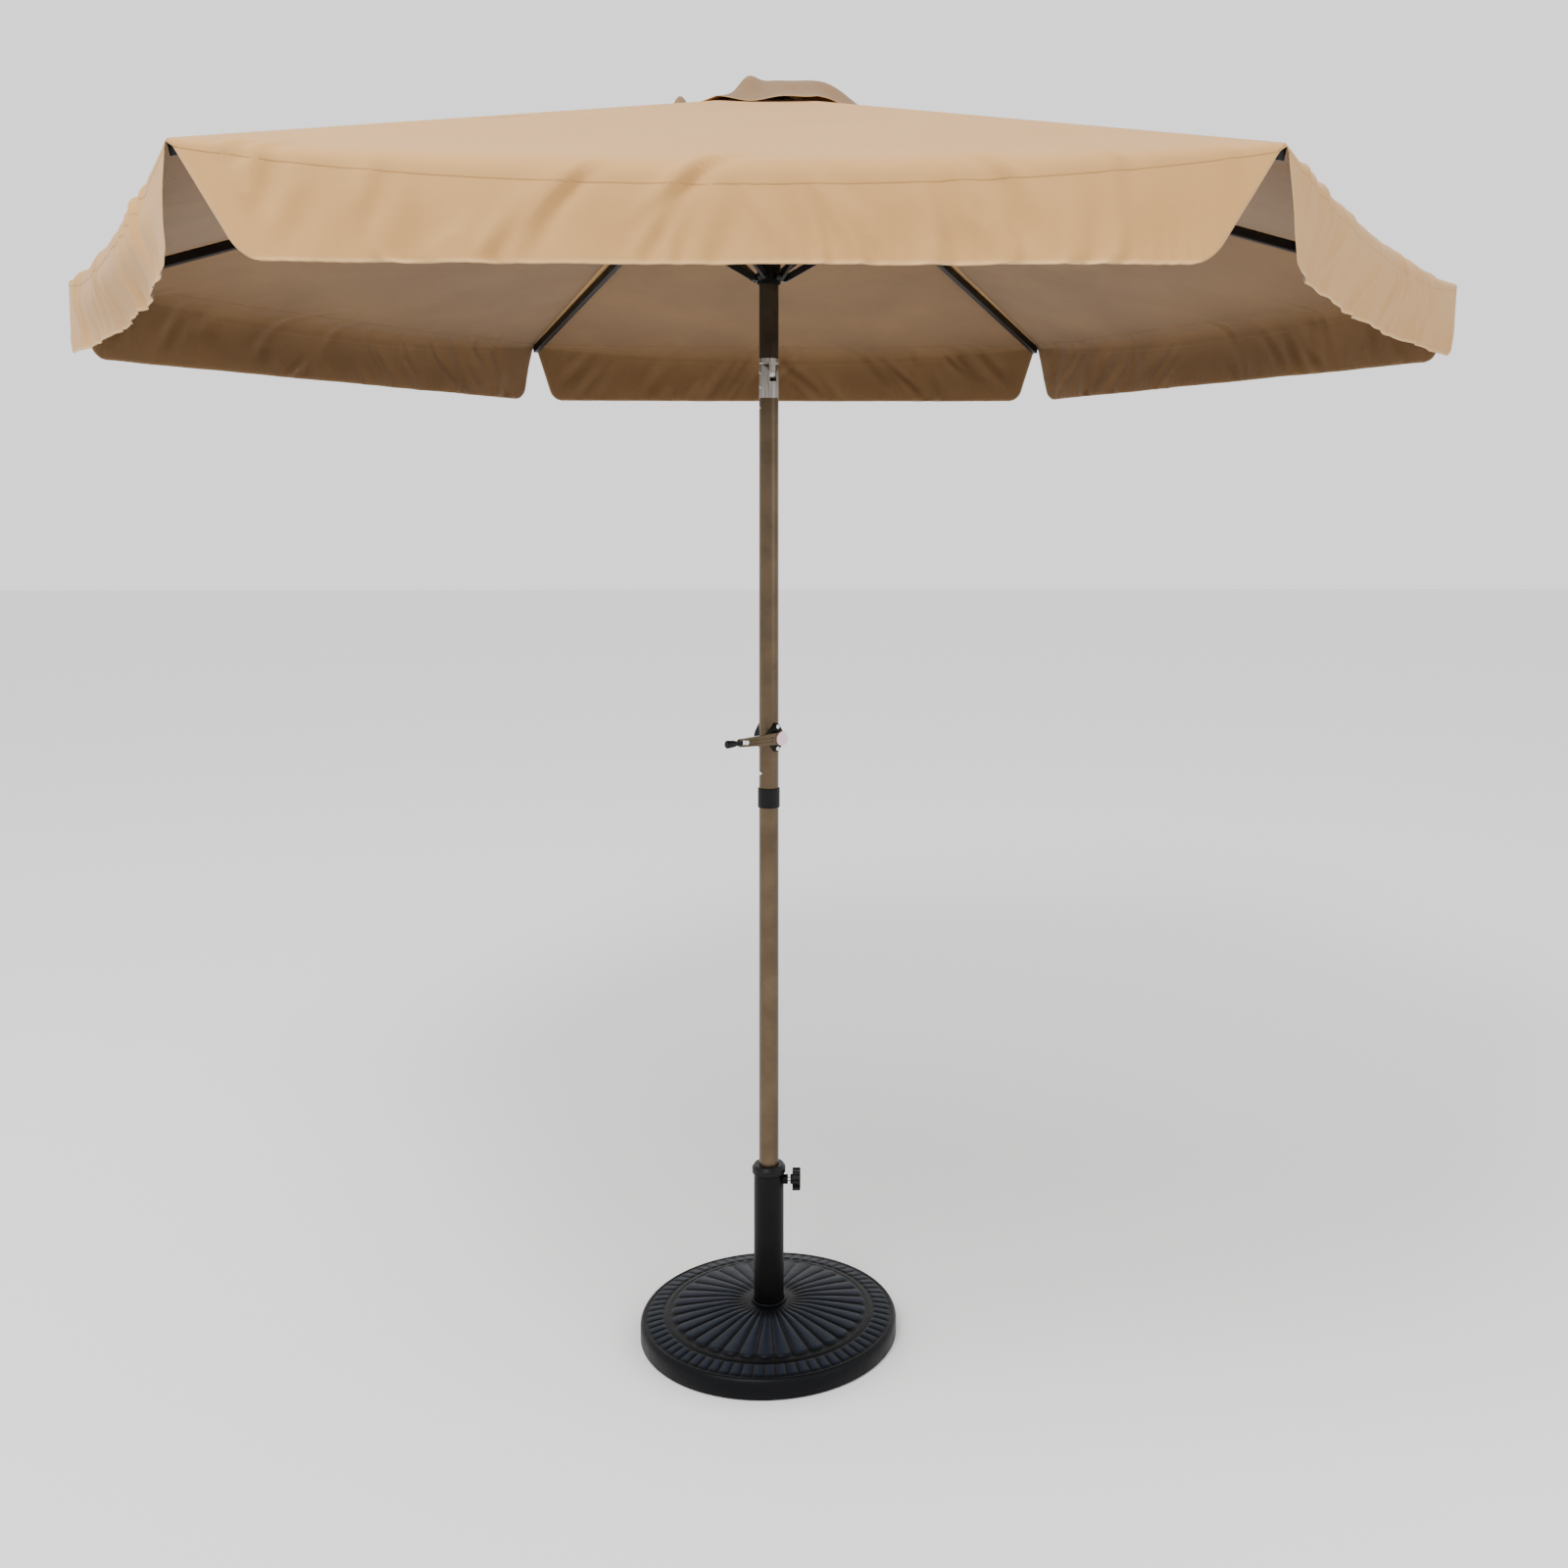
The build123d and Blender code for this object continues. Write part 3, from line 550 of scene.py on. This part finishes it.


# %% [markdown]
# ## The canopy panels
# One panel is one sheet between two ribs. A grid is laid over the formula's slope, finer
# toward the hem, round the whole turn and a little way down, and thickened by a Solidify
# modifier whose inner face takes the darker brown painted shade. When the umbrella closes, the
# panel swings down with the ribs.

# %% The canopy panels
PANEL_LIP = 0.007
CREASE_DEPTHS = [0.0085, 0.0042, 0.0065, 0.0065, 0.0065, 0.0042]
crease_sets = [Creases(40 + k, 34, (0.007, 0.018), (0.4 * deepest, deepest), (0.03, 0.09), pull_slope)
               for k, deepest in enumerate(CREASE_DEPTHS)]


def panel_surface(azimuth, k):
    def surface(u, v):
        across = 2 * u - 1
        top = -(slant_length - PANEL_TOP)
        bottom = fold_end(across) + PANEL_LIP
        share = 1 - (1 - v) ** 1.35
        down = top + (bottom - top) * share
        side, reach, height = side_point(across, down, crease_sets[k], k * 3.1)
        side *= cloth_width(across, down, k)
        return place(azimuth, side, reach, height), (side, down), 0.0
    return surface


for k, azimuth in enumerate(PANEL_AZIMUTHS):
    body = f"panel_{k + 1}"
    sheet = drape(cloth_grid(200, 84), panel_surface(azimuth, k))
    bmesh.ops.recalc_face_normals(sheet, faces=sheet.faces)
    if sum(face.normal.z for face in sheet.faces) < 0:
        bmesh.ops.reverse_faces(sheet, faces=sheet.faces)
    piece = make_piece(f"canopy_panel_{k + 1}", sheet, [cloth_outer, cloth_painted_shade], body)
    thicken(piece, CLOTH_THICK)
    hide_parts(body)
    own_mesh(piece)
print("panels:", SIDES)

# %% [markdown]
# ## The valance flaps
# Each flap starts with the turn at the hem and hangs down with its ends tapering in and its
# lower corners rounded, so a narrow notch opens under every rib end. The grid's rows bend to
# that outline, and the lower edge swings and ripples as loose cloth does. A strip of it
# reaches back under the panel, as the sewn allowance does, and keeps the joint closed when
# the flap unfolds.

# %% The valance flaps
ALLOWANCE = 0.012
LAYER_GAP = 0.0010
HEM_BAND = 0.006
FLAP_SWINGS = [0.004, 0.034, 0.010, 0.006, 0.010, 0.034]


def flap_surface(azimuth, k):
    phase = k * 1.3
    swing = FLAP_SWINGS[k]

    def surface(u, v):
        across = 2 * u - 1
        start = -fold_start(across) - ALLOWANCE
        bottom = cloth_drop(across)
        down = start + (bottom - start) * v
        hang = min(max(0.0, down) / bottom, 1.0)
        side, reach, height = side_point(across, down, crease_sets[k], k * 3.1)
        side *= cloth_width(across, down, k)
        low = ease(0.3, 1.0, hang)
        ripple = 0.0035 * math.sin(side * 19 + phase) + 0.0018 * math.sin(side * 57 + 2 * phase)
        pucker = 0.0005 * math.sin(side * 310 + 3 * noise.noise(Vector((side * 9, k, 0))))
        reach += low * (ripple + pucker - swing * (1 - across ** 2)) - 0.004 * low
        bend = min(max((down + fold_start(across)) / 0.05, 0.0), 1.0)
        seam = fold_end(across) + PANEL_LIP
        under = LAYER_GAP * (1 - ease(seam - 0.006, seam, down))
        reach -= under * bend
        height -= under * (1 - bend)
        edge = min(bottom - down, (1 - abs(across)) * HALF_HEM)
        hem = 1 - ease(HEM_BAND * 0.5, HEM_BAND, edge) if down > 0 else 0.0
        return place(azimuth, side, min(reach, EDGE_R + 0.006), height), (side, down), hem
    return surface


for k, azimuth in enumerate(PANEL_AZIMUTHS):
    body = f"flap_{k + 1}"
    sheet = drape(cloth_grid(200, 68), flap_surface(azimuth, k))
    bmesh.ops.recalc_face_normals(sheet, faces=sheet.faces)
    if sum(face.normal.dot(outward(azimuth)) for face in sheet.faces) < 0:
        bmesh.ops.reverse_faces(sheet, faces=sheet.faces)
    piece = make_piece(f"valance_flap_{k + 1}", sheet, [cloth_outer, cloth_painted_shade], body)
    thicken(piece, CLOTH_THICK)
    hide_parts(body)
    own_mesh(piece)
print("flaps:", SIDES)

# %% [markdown]
# ## Seam tapes
# A tape is sewn under each seam, where the cloth rests on a rib. It rides on the rib, so it
# stays behind the seam when the umbrella closes, and no gap shows between the panels.

# %% Seam tapes
TAPE_WIDE = 0.034
TAPE_NARROW = 0.009
TAPE_LIFT = CLOTH_LIFT - 0.0022


def tape_surface(azimuth):
    def surface(u, v):
        along = 0.050 + (1.330 - 0.050) * v
        half = TAPE_WIDE + (TAPE_NARROW - TAPE_WIDE) * v
        side = (2 * u - 1) * half
        fall = abs(side) * 0.15
        reach = HUB_PIVOT_R + along * math.cos(RIB_SLOPE) + (TAPE_LIFT - fall) * math.sin(RIB_SLOPE)
        height = PIVOT_Z - along * math.sin(RIB_SLOPE) + (TAPE_LIFT - fall) * math.cos(RIB_SLOPE)
        return place(azimuth, side, reach, height), (side, along), 0.0
    return surface


for k, azimuth in enumerate(RIB_AZIMUTHS):
    tape = drape(cloth_grid(8, 60), tape_surface(azimuth))
    if sum(face.normal.z for face in tape.faces) < 0:
        bmesh.ops.reverse_faces(tape, faces=tape.faces)
    piece = make_piece(f"seam_tape_{k + 1}", tape, [cloth_outer, cloth_painted_shade], f"rib_{k + 1}")
    thicken(piece, 0.0006)
print("seam tapes: 6")

# %% [markdown]
# ## The vent cap
# The small top cap lets wind out. It is loose cloth held at its middle, so its rim rides up in
# uneven waves and shows its inner face from below. It is made in six gores that bend over the
# hub's edge with the panels below them.

# %% The vent cap
VENT_R = 0.188
VENT_TOP_Z = 2.4445
VENT_HUMPS = [
    (-0.036, -0.060, 0.024, 0.060, 0.028),
    (0.112, -0.035, 0.068, 0.060, 0.040),
    (0.020, 0.020, 0.090, 0.100, 0.030),
    (-0.172, -0.020, 0.018, 0.045, 0.040),
    (0.165, 0.060, 0.030, 0.040, 0.022),
    (-0.070, 0.150, 0.030, 0.030, 0.020),
]


def canopy_height(spot_x, spot_y):
    """Height of the stretched panels over a place in plan."""
    spot = Vector((spot_x, spot_y, 0))
    return APEX_Z - math.tan(PANEL_SLOPE) * max(spot.dot(outward(azimuth)) for azimuth in PANEL_AZIMUTHS)


def vent_height(spot_x, spot_y):
    """Height of the vent's cloth: it lies near the panels and rides up in humps."""
    turn = math.atan2(spot_x, -spot_y)
    share = math.hypot(spot_x, spot_y) / VENT_R
    lift = 0.0055 + share ** 2 * (0.004 * math.sin(5 * turn - 0.6) + 0.0025 * math.sin(11 * turn))
    for hump_x, hump_y, width, depth, rise in VENT_HUMPS:
        lift += rise * math.exp(-((spot_x - hump_x) / width) ** 2 - ((spot_y - hump_y) / depth) ** 2)
    height = canopy_height(spot_x, spot_y) + lift
    return VENT_TOP_Z - 0.012 * math.log1p(math.exp((VENT_TOP_Z - height) / 0.012)) + 0.001


def vent_surface(azimuth):
    def surface(u, v):
        turn = (2 * u - 1) * STEP / 2
        radius = 0.004 + (VENT_R - 0.004) * v
        radius *= 1 + 0.03 * math.sin(3 * (azimuth + turn))
        spot = outward(azimuth + turn) * radius
        hem = 1 - ease(0.0, 0.006, VENT_R * (1 - v))
        return Vector((spot.x, spot.y, vent_height(spot.x, spot.y))), (turn * radius, radius), hem
    return surface


for k, azimuth in enumerate(PANEL_AZIMUTHS):
    gore = drape(cloth_grid(40, 40), vent_surface(azimuth))
    if sum(face.normal.z for face in gore.faces) < 0:
        bmesh.ops.reverse_faces(gore, faces=gore.faces)
    piece = make_piece(f"vent_gore_{k + 1}", gore, [cloth_outer, cloth_painted_shade])
    thicken(piece, 0.0010)
    if k == 0:
        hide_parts("vent_cap")
    start = place(azimuth, 0, 0.030, PIVOT_Z + 0.04)
    end = place(azimuth, 0, 0.070, PIVOT_Z + 0.03)
    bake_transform(piece, "upper", f"panel_{k + 1}", start=tuple(start), end=tuple(end))
print("vent gores: 6")

# %% [markdown]
# ## The resin base
# The base is a domed disc cast in resin. Its profile is drawn as a few points, subdivided and
# spun about the pole. Rounded petals fan out from the tube, a smooth ring follows, and a row
# of short flutes runs round the rim. The relief is added by moving the spun points, and an
# attribute keeps a share for the finish: a blue-grey painted sheen on the high places and
# painted shade on the sunk ground.

# %% The resin base
BASE_R = 0.248
BASE_RIM_Z = 0.040
BASE_BOSS_Z = 0.062
BASE_BOSS_R = 0.044
BASE_BORE_R = 0.0082
BASE_RECESS_Z = 0.014
RIM_ROUND = 0.012
RELIEF_IN_R = 0.034
PETAL_DEPTH = 0.0040
FLUTE_DEPTH = 0.0026
RING_DEPTH = 0.0012
GROUND_DEPTH = 0.0032
ROUND_STEPS = 8
TOP_STEPS = 110
PETALS = 34
RIM_FLUTES = 68
SPIN_STEPS = PETALS * 16


def dome_height(radius):
    """The domed top face, as the arc through the boss, the middle and the rim."""
    share = (radius - BASE_BOSS_R) / (BASE_R - RIM_ROUND - BASE_BOSS_R)
    return BASE_BOSS_Z - (BASE_BOSS_Z - BASE_RIM_Z) * share + 0.0158 * share * (1 - share)


def base_relief(radius, turn):
    """Height of the relief, and its share of painted light: sheen on crests, shade on sunk ground."""
    petal = (turn / (2 * math.pi) * PETALS) % 1 * 2 - 1
    round_top = math.sqrt(max(0.0, 1 - petal * petal))
    petal_end = 0.189 - 0.012 * (1 - round_top)
    shape = round_top * ease(0.036, 0.085, radius) * (1 - ease(petal_end - 0.006, petal_end, radius))
    flute = (turn / (2 * math.pi) * RIM_FLUTES) % 1 * 2 - 1
    lobe = math.sqrt(max(0.0, 1 - flute * flute))
    rim = lobe * ease(0.203, 0.208, radius) * (1 - ease(0.230, 0.238, radius))
    ring = ease(0.190, 0.193, radius) * (1 - ease(0.199, 0.202, radius))
    low = ease(0.036, 0.06, radius) * (1 - ease(0.236, 0.242, radius))
    height = PETAL_DEPTH * shape + FLUTE_DEPTH * rim + RING_DEPTH * ring - GROUND_DEPTH * low
    crest = max(shape, rim)
    # The second value gives the crests painted sheen and the sunk ground painted shade.
    return height, min(1.0, 0.35 + 0.65 * crest - 0.2 * (low - crest))


def make_base():
    shape = bmesh.new()
    outline = [
        (BASE_BORE_R, BASE_RECESS_Z),
        (BASE_BOSS_R, BASE_RECESS_Z),
        (BASE_BOSS_R, 0.0),
        (BASE_R - 0.004, 0.0),
        (BASE_R, 0.004),
        (BASE_R, BASE_RIM_Z - RIM_ROUND),
    ]
    for step in range(1, ROUND_STEPS + 1):
        bend = math.radians(90) * step / ROUND_STEPS
        radius = BASE_R - RIM_ROUND + RIM_ROUND * math.cos(bend)
        outline.append((radius, BASE_RIM_Z - RIM_ROUND + RIM_ROUND * math.sin(bend)))
    for step in range(1, TOP_STEPS + 1):
        radius = BASE_R - RIM_ROUND - (BASE_R - RIM_ROUND - RELIEF_IN_R) * step / TOP_STEPS
        height = dome_height(radius) if radius > BASE_BOSS_R else BASE_BOSS_Z
        outline.append((radius, height))
    outline += [(0.033, BASE_BOSS_Z), (BASE_BORE_R, BASE_BOSS_Z)]
    chain = [shape.verts.new((radius, 0, height)) for radius, height in outline]
    edges = [shape.edges.new(pair) for pair in zip(chain, chain[1:])]
    edges.append(shape.edges.new((chain[-1], chain[0])))
    bmesh.ops.spin(shape, geom=chain + edges, cent=(0, 0, 0), axis=(0, 0, 1), angle=math.tau,
                   steps=SPIN_STEPS, use_merge=True)
    bmesh.ops.remove_doubles(shape, verts=shape.verts, dist=1e-5)
    layer = shape.verts.layers.float.new("relief")
    for vert in shape.verts:
        radius = math.hypot(vert.co.x, vert.co.y)
        vert[layer] = 0.3
        if vert.co.z > 0.034 and radius > RELIEF_IN_R:
            lift, share = base_relief(radius, math.atan2(vert.co.y, vert.co.x))
            vert.co.z += lift
            vert[layer] = share
    bmesh.ops.recalc_face_normals(shape, faces=shape.faces)
    return shape


base_piece = make_piece("cast_base", make_base(), [resin], "base")
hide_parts("base_weight")
print("base faces:", len(base_piece.data.polygons))

# %% [markdown]
# ## Small bright fittings
# The crank's knob is held by a domed rivet whose pale head shows on the arm, and a rolled
# ring finishes the foot of the base tube. Both are simple turned shapes: a bevelled disc and
# a spun bead.

# %% Small bright fittings
def turned_disc(name, centre, axis, radius, height, bevel, finish, body):
    shape = bmesh.new()
    bmesh.ops.create_cone(shape, cap_ends=True, segments=40, radius1=radius, radius2=radius, depth=height)
    rim = [edge for edge in shape.edges if all(vert.co.z > 0 for vert in edge.verts)]
    bmesh.ops.bevel(shape, geom=rim, offset=bevel, segments=4, affect="EDGES", profile=0.5, material=-1)
    turn = Vector((0, 0, 1)).rotation_difference(Vector(axis)).to_matrix().to_4x4()
    bmesh.ops.transform(shape, verts=shape.verts, matrix=Matrix.Translation(centre) @ turn)
    return make_piece(name, shape, [finish], body)


CRANK_AZIMUTH = math.radians(41)
CRANK_Z = 1.159
CRANK_ARM = 0.086
rivet_spot = outward(CRANK_AZIMUTH) * 0.0418 - sideways(CRANK_AZIMUTH) * CRANK_ARM + Vector((0, 0, CRANK_Z))
turned_disc("crank_rivet", rivet_spot, outward(CRANK_AZIMUTH), 0.0046, 0.0020, 0.0012, bright_steel,
            "crank")


def spun_bead(name, radius, height, thickness, finish, body):
    shape = bmesh.new()
    bmesh.ops.create_circle(shape, segments=20, radius=thickness)
    upright = Matrix.Rotation(math.radians(90), 3, "X")
    bmesh.ops.rotate(shape, verts=shape.verts, cent=(0, 0, 0), matrix=upright)
    bmesh.ops.translate(shape, verts=shape.verts, vec=(radius, 0, height))
    bmesh.ops.spin(shape, geom=shape.verts[:] + shape.edges[:], cent=(0, 0, 0), axis=(0, 0, 1),
                   angle=math.tau, steps=96, use_merge=True)
    bmesh.ops.remove_doubles(shape, verts=shape.verts, dist=1e-6)
    bmesh.ops.recalc_face_normals(shape, faces=shape.faces)
    return make_piece(name, shape, [finish], body)


spun_bead("tube_foot_bead", 0.0315, 0.0632, 0.0028, resin, "base")
